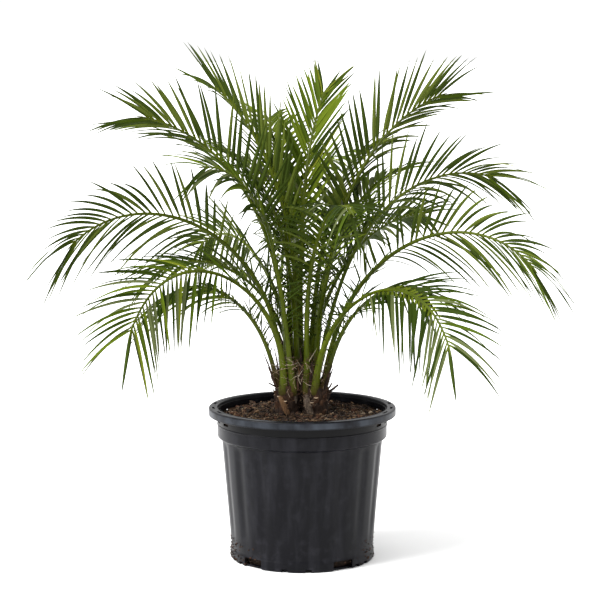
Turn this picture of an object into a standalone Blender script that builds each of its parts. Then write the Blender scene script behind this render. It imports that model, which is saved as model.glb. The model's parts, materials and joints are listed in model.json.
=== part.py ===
"""Pygmy date palm in its black nursery pot.

Three short stems stand close together on potting mix in a thin-walled tub. Each stem carries
its fronds on its head. A frond is one channelled rib that rises, bends over and falls, with
leaflets along both of its sides. Metres, +Z up. The origin is the centre of the pot's
underside, and the side that faces -Y is the front.
"""
import math

import bmesh
import bpy
from mathutils import Vector
from mathutils.bvhtree import BVHTree

# Clearance between pieces that meet
GAP = 0.0003

# Pot: a seven gallon tub with shallow flutes
RIM_RADIUS = 0.1775
POT_HEIGHT = 0.290
FOOT_RADIUS = 0.136
FLOOR = 0.003
WALL = 0.0028
FLUTES = 18
SIDES_PER_FLUTE = 3
FLUTE_DEPTH = 0.0020
FLUTE_AZIMUTH = -1.0

# Drain notches through the foot, the same on both halves of the pot
DRAIN_AZIMUTH = -94.5
WIDE_NOTCH_ANGLES = (38.9, -38.9)
WIDE_NOTCH_SIZE = (0.043, 0.015)
SMALL_NOTCH_ANGLES = (9.5, -9.5, 53.5, -53.5, 65.5, -65.5)
SMALL_NOTCH_SIZE = (0.012, 0.006)

# Potting mix: flat where the stems stand, lower at the wall
SOIL_TOP = 0.279
SOIL_EDGE = 0.272
SOIL_FLAT_RADIUS = 0.098

# Stems: centre, radius of the head, and radius of the ring of slots that the fronds stand on
STEMS = {
    "left": (-0.028, -0.004, 0.0253, 0.0180),
    "right": (0.026, -0.010, 0.0253, 0.0180),
    "rear": (-0.001, 0.046, 0.0300, 0.0225),
}
STEM_HEAD = 0.330
STEM_SIDES = 12
STEM_WAIST = 0.88
BOOT_RAISE = 0.0016
STUB_AZIMUTHS = {"left": (195, 135), "right": (15, -45), "rear": (75,)}
STUB_LENGTH = 0.020

# Fronds: place in the crown, stem, slot on its head in degrees (None is the middle), azimuth,
# lean from upright at the foot and at the tip, length in millimetres, how late the bend comes,
# sideways curl at the tip, roll of the blade about its rib, lift of the leaflets out of the
# blade's plane, and their angle from the rib at the tip
FRONDS = (
    ("top_left", "rear", -135, 150, -4, 76, 730, 1.7, -7, 50, 46, 24),
    ("upper_left", "left", None, 172, 2, 107, 735, 1.9, 37, 48, 42, 20),
    ("front_left", "left", -60, -153, 7, 166, 592, 3.7, 13, -32, 8, 34),
    ("far_left", "left", 120, -165, 2, 159, 755, 1.3, 35, 70, 8, 24),
    ("low_left", "left", -120, -140, -6, 163, 700, 0.9, 42, -47, -16, 38),
    ("short_left", "left", 180, -170, 13, 162, 415, 1.7, 50, 20, -10, 30),
    ("top_middle", "rear", None, 78, -6, 71, 700, 1.7, -11, 10, 30, 20),
    ("top_right", "rear", 0, 18, 6, 98, 745, 2.3, -14, -60, 36, 22),
    ("upper_right", "right", 90, 8, 11, 151, 690, 2.2, -15, -50, 30, 24),
    ("far_right", "right", 30, -22, 8, 160, 735, 1.3, -34, -68, 8, 24),
    ("low_right", "right", -90, -45, 5, 166, 630, 1.0, -36, 47, -16, 38),
    ("short_right", "right", -30, -25, 14, 145, 400, 1.7, -34, 0, -10, 30),
    ("front_right", "right", -150, -62, -3, 165, 575, 2.2, -15, 0, 12, 34),
    ("inner_right", "right", 150, 38, 8, 118, 560, 1.4, 5, -45, 20, 26),
    ("inner_left", "left", 60, 165, 4, 150, 480, 1.4, 0, 20, 20, 25),
    ("high_back_left", "rear", 180, 104, -1, 89, 685, 1.6, -8, 10, 25, 25),
    ("high_back_right", "rear", -45, 66, 6, 118, 700, 1.7, 8, -20, 25, 25),
    ("back", "rear", 90, 95, 14, 158, 700, 1.3, 0, 40, 5, 28),
    ("back_left", "rear", 135, 122, 12, 152, 600, 1.4, 0, 60, 8, 26),
    ("back_right", "rear", 45, 72, 14, 150, 640, 1.4, 0, -55, 8, 26),
    ("mid_back_left", "left", 0, 121, 2, 112, 640, 1.8, 1, 20, 20, 25),
    ("mid_back_right", "right", None, 50, 2, 100, 580, 1.6, 0, -10, 20, 25),
)

# Rib of a frond: width and depth at the foot, where the blade starts and where it ends
COURSE_STEPS = 160
BLADE_START = 0.37
BLADE_END = 0.84
STALK_SEGMENTS = 6
BLADE_SEGMENTS = 24
CROWDING = 1.12
RIB_WIDTHS = (0.0122, 0.0086, 0.0036)
RIB_DEPTHS = (0.0102, 0.0072, 0.0030)
RIB_KEEL = 0.6
ROLL_START = 0.20
ROLL_SPAN = 0.35
# A frond whose tip leans further than this is split where it bends over
SPLIT_TIP_LEAN = 125.0
SPLIT_LEAN = 80.0

# Leaflets, wider than life because each stands for two. They spread less on a young, upright
# frond, and one that hangs below level is shorter, droops more and lies closer to the rib.
LEAFLET_LENGTH = 0.152
LEAFLET_WIDTH = 0.0150
LEAFLET_THICKNESS = 0.0020
LEAFLET_WIDEST = 0.36
FULL_FROND_LENGTH = 0.72
SPREAD = 60.0
YOUNG_SPREAD = 36.0
YOUNG_LEAN, GROWN_LEAN = 70.0, 95.0
LIFT_AT_TIP = 0.25
TILT = 12.0
DROOP = (0.06, 0.24)
HANG = 0.35
SHORTER_BELOW = 0.12
CLOSER_BELOW = 0.35
CLEARANCE = 0.0008
# Ways to lay a leaflet that would touch: change of spread, change of lift, share of its length
WAYS = (
    (0, 0, 1.0), (0, 12, 1.0), (0, -12, 1.0), (-7, 0, 1.0), (7, 0, 1.0), (0, 24, 1.0),
    (0, -24, 1.0), (-9, 16, 0.9), (0, 0, 0.75), (0, 16, 0.75), (0, -16, 0.75), (0, 0, 0.5),
    (0, 20, 0.5), (0, -20, 0.5), (0, 0, 0.35), (0, 25, 0.35),
)

BLACK_PLASTIC = ("black_plastic", (0.022, 0.022, 0.025), 0.5)
POTTING_MIX = ("potting_mix", (0.072, 0.040, 0.022), 0.95)
STEM_BARK = ("stem_bark", (0.115, 0.068, 0.036), 0.9)
FROND_GREEN = ("frond_green", (0.086, 0.150, 0.024), 0.5)


def clear_scene():
    for item in list(bpy.data.objects):
        bpy.data.objects.remove(item, do_unlink=True)


def finish_material(item, finish):
    name, colour, roughness = finish
    material = bpy.data.materials.new(name)
    material.use_nodes = True
    shader = material.node_tree.nodes["Principled BSDF"]
    shader.inputs["Base Color"].default_value = (*colour, 1.0)
    shader.inputs["Roughness"].default_value = roughness
    shader.inputs["Metallic"].default_value = 0.0
    material.diffuse_color = (*colour, 1.0)
    item.data.materials.append(material)


def work_mesh(points, faces):
    work = bmesh.new()
    corners = [work.verts.new(point) for point in points]
    for face in faces:
        work.faces.new([corners[i] for i in face])
    work.faces.ensure_lookup_table()
    return work


def add_piece(name, work, finish, smooth_angle=None):
    """Make one closed work mesh an object, with its faces turned outward."""
    bmesh.ops.triangulate(work, faces=[f for f in work.faces if len(f.verts) == 4])
    bmesh.ops.recalc_face_normals(work, faces=work.faces)
    mesh = bpy.data.meshes.new(name)
    work.to_mesh(mesh)
    work.free()
    if smooth_angle is not None:
        mesh.shade_smooth()
        mesh.set_sharp_from_angle(angle=math.radians(smooth_angle))
    item = bpy.data.objects.new(name, mesh)
    bpy.context.collection.objects.link(item)
    finish_material(item, finish)
    return item


def turned(profile, sides, azimuth, reach=None):
    """Turn a profile of (radius, height) pairs that starts and ends on the axis."""
    points = [Vector((0, 0, profile[0][1]))]
    for ring, (radius, height) in enumerate(profile[1:-1]):
        for side in range(sides):
            angle = math.radians(azimuth) + math.tau * side / sides
            here = radius + (reach(ring, side) if reach else 0.0)
            points.append(Vector((here * math.cos(angle), here * math.sin(angle), height)))
    points.append(Vector((0, 0, profile[-1][1])))
    rings = len(profile) - 2
    last = len(points) - 1
    faces = []
    for side in range(sides):
        beside = (side + 1) % sides
        faces.append((0, 1 + beside, 1 + side))
        for ring in range(rings - 1):
            low, high = 1 + ring * sides, 1 + (ring + 1) * sides
            faces.append((low + side, low + beside, high + beside, high + side))
        top = 1 + (rings - 1) * sides
        faces.append((top + side, top + beside, last))
    return points, faces


def body_radius(height):
    """Outer radius of the tapered wall between the foot and the step under the rim band."""
    low, high = (0.024, 0.1348), (0.228, 0.1525)
    return low[1] + (high[1] - low[1]) * (height - low[0]) / (high[0] - low[0])


def pot_profile():
    band = 0.1605
    lip_foot = POT_HEIGHT - 0.015
    lip_inside = RIM_RADIUS - 0.0028
    outer = [
        (0.0, 0.0),
        (FOOT_RADIUS - 0.003, 0.0),
        (FOOT_RADIUS, 0.003),
        (FOOT_RADIUS, 0.018),
        (body_radius(0.024), 0.024),
        (body_radius(0.050), 0.050),
        (body_radius(0.210), 0.210),
        (body_radius(0.228), 0.228),
        (band - 0.001, 0.234),
        (band, 0.257),
        (band + 0.0018, 0.260),
        (band + 0.0022, POT_HEIGHT - 0.0035),
        (lip_inside, POT_HEIGHT - 0.0035),
        (lip_inside, lip_foot),
        (RIM_RADIUS, lip_foot),
        (RIM_RADIUS, POT_HEIGHT - 0.0025),
        (RIM_RADIUS - 0.0025, POT_HEIGHT),
    ]
    return outer + [(r, z) for r, z in reversed(pot_inside())] + [(0.0, FLOOR)]


def pot_inside():
    """Inner wall of the pot from its floor up to its rim."""
    return [
        (FOOT_RADIUS - 0.006, FLOOR),
        (body_radius(0.024) - WALL, 0.012),
        (body_radius(0.228) - WALL - 0.0005, 0.2265),
        (0.1575, 0.2335),
        (0.1598, POT_HEIGHT - 0.002),
        (0.1618, POT_HEIGHT),
    ]


def fluted(ring, side):
    """The two middle rings of the body sink into the grooves between the flutes."""
    first_body_ring, last_body_ring = 4, 5
    if ring not in (first_body_ring, last_body_ring):
        return 0.0
    return -FLUTE_DEPTH if side % SIDES_PER_FLUTE == 0 else 0.0


def build_pot():
    tub = turned(pot_profile(), FLUTES * SIDES_PER_FLUTE, FLUTE_AZIMUTH, fluted)
    pot = add_piece("pot", work_mesh(*tub), BLACK_PLASTIC, smooth_angle=40)
    cutters = bpy.data.collections.new("notch_cutters")
    bpy.context.scene.collection.children.link(cutters)
    for half_turn in (0.0, 180.0):
        for angle in WIDE_NOTCH_ANGLES:
            add_notch(cutters, DRAIN_AZIMUTH + half_turn + angle, *WIDE_NOTCH_SIZE)
        for angle in SMALL_NOTCH_ANGLES:
            add_notch(cutters, DRAIN_AZIMUTH + half_turn + angle, *SMALL_NOTCH_SIZE)
    cut = pot.modifiers.new("drain_notches", "BOOLEAN")
    cut.operation = "DIFFERENCE"
    cut.solver = "EXACT"
    cut.operand_type = "COLLECTION"
    cut.collection = cutters


def add_notch(cutters, azimuth, width, height):
    """A box through the foot of the wall, which cuts the notch."""
    inner, outer, below = FOOT_RADIUS - 0.0075, FOOT_RADIUS + 0.010, 0.010
    mesh = bpy.data.meshes.new("notch_cutter")
    work = bmesh.new()
    bmesh.ops.create_cube(work, size=1.0)
    work.to_mesh(mesh)
    work.free()
    cutter = bpy.data.objects.new("notch_cutter", mesh)
    cutters.objects.link(cutter)
    turn = math.radians(azimuth)
    middle = (inner + outer) / 2
    cutter.location = (middle * math.cos(turn), middle * math.sin(turn), (height - below) / 2)
    cutter.rotation_euler = (0, 0, turn)
    cutter.scale = (outer - inner, width, height + below)
    cutter.hide_render = True
    cutter.display_type = "WIRE"


def build_soil():
    """Fills the pot a hair clear of its wall, and is cut back behind the notches."""
    (_, floor), (low_wall, _), (high_wall, high), (step_wall, step), _, _ = pot_inside()
    cut_back = FOOT_RADIUS - 0.016
    profile = [
        (0.0, floor + GAP),
        (cut_back, floor + GAP),
        (low_wall - 0.0016, 0.022),
        (high_wall - GAP, high),
        (step_wall - 2 * GAP, step),
        (step_wall + 0.0012, SOIL_EDGE),
        (0.136, SOIL_EDGE + 0.002),
        (SOIL_FLAT_RADIUS, SOIL_TOP),
        (0.0, SOIL_TOP),
    ]
    add_piece("soil", work_mesh(*turned(profile, FLUTES * 2, FLUTE_AZIMUTH)), POTTING_MIX, smooth_angle=30)


def build_stem(name):
    """A short stem in old leaf bases, with cut stalks that stand out of two of them."""
    x, y, radius, _ = STEMS[name]
    foot, head = SOIL_TOP + GAP, STEM_HEAD
    levels = ((0.98, 0.0), (STEM_WAIST, 0.25), (0.90, 0.5), (0.92, 0.75), (1.0, 1.0))
    profile = [(0.0, foot)]
    profile += [(radius * share, foot + (head - foot) * rise) for share, rise in levels]
    profile += [(0.0, head)]

    def boots(ring, side):
        inner_ring = 0 < ring < len(levels) - 1
        return BOOT_RAISE if inner_ring and (ring + side) % 2 else 0.0

    points, faces = turned(profile, STEM_SIDES, 0.0, boots)
    centre = Vector((x, y, 0))
    work = work_mesh([point + centre for point in points], faces)
    add_stubs(work, name, centre)
    add_piece("stem_" + name, work, STEM_BARK)


def add_stubs(work, name, centre):
    """Draw a face of the stem's upper half out into a cut stalk, one for each azimuth."""
    upper_half = (SOIL_TOP + STEM_HEAD) / 2
    for azimuth in STUB_AZIMUTHS[name]:
        out = Vector((math.cos(math.radians(azimuth)), math.sin(math.radians(azimuth)), 0))
        walls = [f for f in work.faces if len(f.verts) == 4 and f.calc_center_median().z > upper_half]
        chosen = max(walls, key=lambda f: (f.calc_center_median() - centre).dot(out))
        drawn = bmesh.ops.extrude_discrete_faces(work, faces=[chosen])["faces"][0]
        middle = drawn.calc_center_median()
        for vert in drawn.verts:
            vert.co = middle + (vert.co - middle) * 0.45 + (out + Vector((0, 0, 0.4))) * STUB_LENGTH


def mix(a, b, share):
    return a + (b - a) * share


def ramp(values, share):
    """Read foot, blade start and blade end values at a share of the frond's length."""
    foot, start, end = values
    if share < BLADE_START:
        return mix(foot, start, share / BLADE_START)
    return mix(start, end, min(1.0, (share - BLADE_START) / (BLADE_END - BLADE_START)))


class Frond:
    """The line of one rib, with the directions along it, over it and across it."""

    def __init__(self, row):
        self.name, stem, slot, azimuth, lean_foot, lean_tip, length, bend, curl, roll = row[:10]
        self.lift, self.fan = row[10:]
        self.length = length / 1000
        self.lean_foot, self.lean_tip = lean_foot, lean_tip
        self.bend, self.azimuth, self.curl, self.roll = bend, azimuth, curl, roll
        x, y, _, ring = STEMS[stem]
        if slot is not None:
            x += ring * math.cos(math.radians(slot))
            y += ring * math.sin(math.radians(slot))
        grown = min(1.0, max(0.0, (lean_tip - YOUNG_LEAN) / (GROWN_LEAN - YOUNG_LEAN)))
        self.spread = mix(YOUNG_SPREAD, SPREAD, grown)
        self.line = [Vector((x, y, STEM_HEAD + GAP))]
        for step in range(COURSE_STEPS):
            along = self.direction((step + 0.5) / COURSE_STEPS)
            self.line.append(self.line[-1] + along * self.length / COURSE_STEPS)

    def lean(self, share):
        return self.lean_foot + (self.lean_tip - self.lean_foot) * share ** self.bend

    def angles(self, share):
        return math.radians(self.lean(share)), math.radians(self.azimuth + self.curl * share ** 2)

    def direction(self, share):
        lean, heading = self.angles(share)
        flat = math.sin(lean)
        return Vector((flat * math.cos(heading), flat * math.sin(heading), math.cos(lean)))

    def place(self, share):
        step = min(int(share * COURSE_STEPS), COURSE_STEPS - 1)
        return self.line[step].lerp(self.line[step + 1], share * COURSE_STEPS - step)

    def frame(self, share):
        """Directions along the rib, over its upper side and across it, after the blade's roll."""
        lean, heading = self.angles(share)
        along = self.direction(share)
        back = -math.cos(lean)
        over = Vector((back * math.cos(heading), back * math.sin(heading), math.sin(lean)))
        side = along.cross(over)
        turn = math.radians(self.roll) * min(1.0, max(0.0, (share - ROLL_START) / ROLL_SPAN))
        over = over * math.cos(turn) + side * math.sin(turn)
        return along, over, along.cross(over)

    def stations(self):
        stalk = [BLADE_START * i / STALK_SEGMENTS for i in range(STALK_SEGMENTS)]
        return stalk + [self.blade_share(i / BLADE_SEGMENTS) for i in range(BLADE_SEGMENTS + 1)]

    @staticmethod
    def blade_share(v):
        """Leaflets stand closer together towards the tip."""
        return mix(BLADE_START, BLADE_END, 1 - (1 - v) ** CROWDING)

    def split_station(self):
        """Number of the station where the frond bends over, or None where it stays whole."""
        if self.lean_tip < SPLIT_TIP_LEAN:
            return None
        over = [i for i, share in enumerate(self.stations()) if self.lean(share) > SPLIT_LEAN]
        return over[0]

    def ring(self, share, shift=0.0):
        """Four corners of the rib: left and right of its top, then right and left of its keel."""
        along, over, side = self.frame(share)
        half_width = ramp(RIB_WIDTHS, share) / 2 * side
        half_depth = ramp(RIB_DEPTHS, share) / 2 * over
        centre = self.place(share) + along * shift
        half_keel = half_width * RIB_KEEL
        corners = [centre - half_width + half_depth, centre + half_width + half_depth,
                   centre + half_keel - half_depth, centre - half_keel - half_depth]
        if share == 0.0:
            for corner in corners:
                corner.z = STEM_HEAD + GAP
        return corners


def leaflet_shape(frond, segment, way, spare=0.0):
    """Corners of a leaflet where it is widest, and its tip."""
    v = (segment + 0.5) / BLADE_SEGMENTS
    share = frond.blade_share(v)
    along, over, across = frond.frame(share)
    hand = 1 if segment % 2 else -1
    more_spread, more_lift, length_share = way
    lift = math.radians(frond.lift * mix(1.0, LIFT_AT_TIP, v) + more_lift)
    out = across * hand * math.cos(lift) + over * math.sin(lift)
    low = min(1.0, max(0.0, 0.15 - out.z))
    closing = 1 - (CLOSER_BELOW * low * v if frond.lift > 0 else 0.0)
    spread = math.radians(mix(frond.spread, frond.fan, v ** 0.85) * closing + more_spread)
    aim = along * math.cos(spread) + out * math.sin(spread)
    rise = 0.50 + 0.50 * math.sin(math.pi / 2 * min(1.0, v / 0.3))
    fall = 1 - 0.19 * max(0.0, (v - 0.4) / 0.6) ** 1.3
    length = LEAFLET_LENGTH * (frond.length / FULL_FROND_LENGTH) ** 0.3 * rise * fall
    length *= (1 - SHORTER_BELOW * low) * length_share
    droop = (DROOP[0] + DROOP[1] * (frond.lean_tip / 160) ** 1.5) * math.hypot(aim.x, aim.y)
    droop *= 1 + HANG * low

    def at(reach):
        return frond.place(share) + aim * length * reach - Vector((0, 0, droop * length * reach ** 2))

    chord = (at(LEAFLET_WIDEST + 0.1) - at(LEAFLET_WIDEST - 0.1)).normalized()
    forward = (along - chord * along.dot(chord)).normalized()
    flat = forward.cross(chord) * -hand
    tilt = math.radians(TILT)
    broad = forward * math.cos(tilt) - flat * math.sin(tilt)
    thick = flat * math.cos(tilt) + forward * math.sin(tilt)
    half_broad = broad * (LEAFLET_WIDTH * mix(1.0, 0.7, v) / 2 + spare)
    half_thick = thick * (LEAFLET_THICKNESS / 2 + spare)
    middle = at(LEAFLET_WIDEST)
    widest = [middle - half_broad + half_thick, middle - half_broad - half_thick,
              middle + half_broad - half_thick, middle + half_broad + half_thick]
    return widest, at(1.0 + spare / length)


def side_face(lower, upper, hand):
    """Root of a leaflet: top and keel corners of one side of the rib, foot end first."""
    top, keel = (1, 2) if hand > 0 else (0, 3)
    return [lower[top], lower[keel], upper[keel], upper[top]]


def leaflet_tree(root, widest, tip, skip_root):
    """Search tree of a leaflet, without the stretch that is sunk in its own rib."""
    start = [r.lerp(w, skip_root) for r, w in zip(root, widest)]
    points = start + widest + [tip]
    faces = [(0, 3, 2, 1)]
    faces += [(i, (i + 1) % 4, 4 + (i + 1) % 4, 4 + i) for i in range(4)]
    faces += [(4 + i, 4 + (i + 1) % 4, 8) for i in range(4)]
    return Obstacle(points, faces)


class Obstacle:
    """A placed shape that others must not touch."""

    def __init__(self, points, faces):
        self.tree = BVHTree.FromPolygons(points, faces)
        self.low = [min(p[axis] for p in points) for axis in range(3)]
        self.high = [max(p[axis] for p in points) for axis in range(3)]

    def touches(self, other):
        for axis in range(3):
            if self.low[axis] > other.high[axis] or self.high[axis] < other.low[axis]:
                return False
        return bool(self.tree.overlap(other.tree))


def rib_faces(rings):
    """Faces of a rib of that many rings, closed at both ends."""
    faces = [(3, 2, 1, 0)]
    for ring in range(rings - 1):
        low, high = ring * 4, ring * 4 + 4
        faces += [(low + i, low + (i + 1) % 4, high + (i + 1) % 4, high + i) for i in range(4)]
    top = rings * 4 - 4
    faces.append((top, top + 1, top + 2, top + 3))
    return faces


def lay_leaflets(fronds):
    """Settle how every leaflet lies, from the tips inward, so that none touches another piece."""
    placed = {}
    for frond in fronds:
        rings = [frond.ring(share) for share in frond.stations()]
        frond.rings = rings
        corners = [corner for ring in rings for corner in ring]
        placed[frond.name] = [Obstacle(corners, rib_faces(len(rings)))]
        frond.leaflets = {}
    for segment in reversed(range(BLADE_SEGMENTS)):
        for frond in fronds:
            hand = 1 if segment % 2 else -1
            station = STALK_SEGMENTS + segment
            root = side_face(frond.rings[station], frond.rings[station + 1], hand)
            for way in WAYS:
                widest, tip = leaflet_shape(frond, segment, way)
                wide, far = leaflet_shape(frond, segment, way, CLEARANCE)
                swollen = leaflet_tree(root, wide, far, skip_root=0.12)
                if not any(swollen.touches(o) for group in placed.values() for o in group):
                    frond.leaflets[segment] = (widest, tip)
                    placed[frond.name].append(leaflet_tree(root, widest, tip, skip_root=0.0))
                    break


def build_frond_piece(frond, name, first, last):
    """Rib and leaflets between two stations as one closed solid."""
    shares = frond.stations()
    work = bmesh.new()
    rings = []
    for station in range(first, last + 1):
        shift = 0.0
        if station == first and first > 0:
            shift = GAP / 2
        if station == last and last < len(shares) - 1:
            shift = -GAP / 2
        rings.append([work.verts.new(p) for p in frond.ring(shares[station], shift)])
    work.faces.new(reversed(rings[0]))
    for index, (low, high) in enumerate(zip(rings, rings[1:])):
        segment = first + index - STALK_SEGMENTS
        leaflet = frond.leaflets.get(segment)
        hand = 1 if segment % 2 else -1
        grown_side = None
        if leaflet:
            grown_side = 1 if hand > 0 else 3
            add_leaflet(work, side_face(low, high, hand), *leaflet)
        for side in range(4):
            if side != grown_side:
                beside = (side + 1) % 4
                work.faces.new((low[side], low[beside], high[beside], high[side]))
    if last == len(shares) - 1:
        end = work.verts.new(frond.place(1.0))
        for side in range(4):
            work.faces.new((rings[-1][side], rings[-1][(side + 1) % 4], end))
    else:
        work.faces.new(rings[-1])
    add_piece(name, work, FROND_GREEN)


def add_leaflet(work, root, widest, tip):
    ring = [work.verts.new(p) for p in widest]
    end = work.verts.new(tip)
    for i in range(4):
        beside = (i + 1) % 4
        work.faces.new((root[i], root[beside], ring[beside], ring[i]))
        work.faces.new((ring[i], ring[beside], end))


def build_fronds():
    fronds = [Frond(row) for row in FRONDS]
    lay_leaflets(fronds)
    for frond in fronds:
        name = "frond_" + frond.name
        last = len(frond.stations()) - 1
        split = frond.split_station()
        if split is None:
            build_frond_piece(frond, name, 0, last)
        else:
            build_frond_piece(frond, name + "_inner", 0, split)
            build_frond_piece(frond, name + "_outer", split, last)
    laid = sum(len(frond.leaflets) for frond in fronds)
    print(len(fronds), "fronds with", laid, "leaflets of", len(fronds) * BLADE_SEGMENTS)


clear_scene()
build_pot()
build_soil()
for stem_name in STEMS:
    build_stem(stem_name)
build_fronds()
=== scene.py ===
# %% [markdown]
# Pygmy date palm in a nursery pot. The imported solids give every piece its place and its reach. This script
# dresses them: a fluted plastic pot, potting mix, three short stems in old leaf bases, and fronds whose
# leaflets grow along each rib by the same rule as the solids, but twice as many and in their own outline.

# %% Load the frame
import json
import math
import random

import bmesh
import bpy
import numpy as np
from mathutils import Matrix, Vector, noise

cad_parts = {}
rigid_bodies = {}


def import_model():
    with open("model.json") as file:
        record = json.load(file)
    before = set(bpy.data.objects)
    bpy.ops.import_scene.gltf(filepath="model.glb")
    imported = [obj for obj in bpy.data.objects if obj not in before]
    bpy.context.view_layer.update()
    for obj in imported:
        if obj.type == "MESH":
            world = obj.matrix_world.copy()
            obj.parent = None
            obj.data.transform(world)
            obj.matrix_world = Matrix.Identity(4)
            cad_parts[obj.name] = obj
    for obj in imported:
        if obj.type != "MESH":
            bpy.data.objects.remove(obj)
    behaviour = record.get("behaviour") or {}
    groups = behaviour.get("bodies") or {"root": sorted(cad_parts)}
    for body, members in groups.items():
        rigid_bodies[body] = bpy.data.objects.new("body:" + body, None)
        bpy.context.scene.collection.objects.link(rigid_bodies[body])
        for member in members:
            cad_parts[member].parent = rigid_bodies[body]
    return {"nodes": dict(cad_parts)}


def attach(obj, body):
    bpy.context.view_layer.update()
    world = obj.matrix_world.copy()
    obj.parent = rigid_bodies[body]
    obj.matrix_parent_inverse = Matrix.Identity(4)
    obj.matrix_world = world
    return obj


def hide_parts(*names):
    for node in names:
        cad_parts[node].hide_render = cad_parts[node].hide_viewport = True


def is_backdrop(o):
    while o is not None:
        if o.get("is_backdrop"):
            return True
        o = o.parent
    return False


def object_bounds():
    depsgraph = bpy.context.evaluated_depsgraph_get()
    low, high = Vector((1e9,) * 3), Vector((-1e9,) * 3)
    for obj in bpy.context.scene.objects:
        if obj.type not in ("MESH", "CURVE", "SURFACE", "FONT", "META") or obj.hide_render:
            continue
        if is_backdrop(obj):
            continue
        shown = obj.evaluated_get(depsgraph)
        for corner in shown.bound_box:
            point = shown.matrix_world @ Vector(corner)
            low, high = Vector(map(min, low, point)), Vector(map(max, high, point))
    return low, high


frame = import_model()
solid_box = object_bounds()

print("solids", len(frame["nodes"]), "from", *(round(x, 3) for x in solid_box[0]),
      "to", *(round(x, 3) for x in solid_box[1]))

# %% [markdown]
# The photograph is taken from four metres away and a little above, with a long lens, so the pot's rim is a
# flat ellipse and the fronds keep their proportions. Colours are shown without a film curve, because the
# ground has to come out pure white.

# %% Camera
EYE = Vector((-0.0043, -4.0, 1.0))
AIM = Vector((-0.0043, 0.0, 0.4925))
FOCAL_LENGTH = 128.4
SENSOR = 36.0


def add_object(name, data):
    """Put new data into the scene as an object."""
    made = bpy.data.objects.new(name, data)
    bpy.context.collection.objects.link(made)
    return made


camera_data = bpy.data.cameras.new("camera")
camera_data.lens = FOCAL_LENGTH
camera_data.sensor_width = SENSOR
camera_data.clip_end = 200
camera = add_object("camera", camera_data)
camera.location = EYE
camera.rotation_euler = (AIM - EYE).to_track_quat("-Z", "Y").to_euler()
bpy.context.scene.camera = camera
bpy.context.scene.view_settings.view_transform = "Standard"
print("camera", round((AIM - EYE).length, 2), "m from the plant")

# %% [markdown]
# Shader maths reads best as sums. A Wire is one output of a node, and sums of wires add the Math nodes. A
# Finish is a material in the making. Its node method makes every other node: the settings first, then the
# values or wires of its sockets.

# %% Shader sums
def math_node(operation, swapped=False):
    """A method for Wire that adds one Math node. swapped is for a number that stands before the wire."""
    def method(wire, other):
        sides = (other, wire) if swapped else (wire, other)
        return wire.finish.node("Math", {"operation": operation}, dict(enumerate(sides)))
    return method


class Wire:
    """One output of a node, which sums can be written with."""

    def __init__(self, finish, socket):
        self.finish, self.socket = finish, socket

    __add__, __radd__ = math_node("ADD"), math_node("ADD", True)
    __sub__, __rsub__ = math_node("SUBTRACT"), math_node("SUBTRACT", True)
    __mul__, __rmul__ = math_node("MULTIPLY"), math_node("MULTIPLY", True)


class Finish:
    """A material or a sky in the making, whose shader takes numbers, colours and wires."""

    def __init__(self, name, owners=bpy.data.materials, shader="Principled BSDF", place="Object"):
        self.material = owners.new(name)
        self.material.use_nodes = True
        self.tree = self.material.node_tree
        self.shader = self.tree.nodes[shader]
        self.place = self.node("TexCoord", out=place)

    def feed(self, socket, value):
        if isinstance(value, Wire):
            self.tree.links.new(value.socket, socket)
        elif isinstance(value, tuple) and socket.type == "RGBA":
            socket.default_value = (*value, 1.0)
        else:
            socket.default_value = value

    def node(self, kind, settings=None, sockets=None, out=0):
        made = self.tree.nodes.new("ShaderNode" + kind)
        for name, value in (settings or {}).items():
            setattr(made, name, value)
        for name, value in (sockets or {}).items():
            self.feed(made.inputs[name], value)
        return Wire(self, made.outputs[out])

    def height(self):
        return self.node("SeparateXYZ", None, {0: self.place}, out="Z")

    def stretched(self, factors):
        return self.node("VectorMath", {"operation": "MULTIPLY"}, {0: self.place, 1: factors})

    def grain(self, scale, detail=3.0, stretch=None):
        """Noise of that many waves to the metre, from 0 to 1, drawn out where stretch is small."""
        where = self.stretched(stretch) if stretch else self.place
        return self.node("TexNoise", None, {"Vector": where, "Scale": scale, "Detail": detail})

    def steps(self, value, low, high):
        """0 below low, 1 above high and a straight ramp between."""
        return self.node("MapRange", {"clamp": True}, {"Value": value, "From Min": low, "From Max": high})

    def blend(self, mask, first, second):
        return self.node("Mix", {"data_type": "RGBA"}, {0: mask, 6: first, 7: second}, out=2)

    def relief(self, height, distance, strength=1.0):
        return self.node("Bump", None, {"Height": height, "Distance": distance, "Strength": strength})

    def set(self, **sockets):
        for name, value in sockets.items():
            self.feed(self.shader.inputs[name.replace("_", " ")], value)
        return self.material


print("shader sums ready")

# %% [markdown]
# White floor and white sky burn out to white, and only the contact shadow stays grey. The sky is brighter
# overhead, like a light tent with lamps above it: leaves that face up shine and the depth of the crown stays
# dark. One very soft sun from the left gives every leaflet a light and a dark half. A sun keeps its strength
# over the whole floor, which an area light doesn't.

# %% Floor and lights
HORIZON = 1.04
ZENITH = 1.95
SKY_RAMP = (0.15, 0.9)
SUN_FROM = Vector((-2.9, -1.6, 3.1))
SUN_STRENGTH = 5.8
SUN_ANGLE = 30.0
FLOOR_WHITE = 0.76
FLOOR_SIZE = 120.0
SQUARE = ((-1, -1), (1, -1), (1, 1), (-1, 1))

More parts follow.
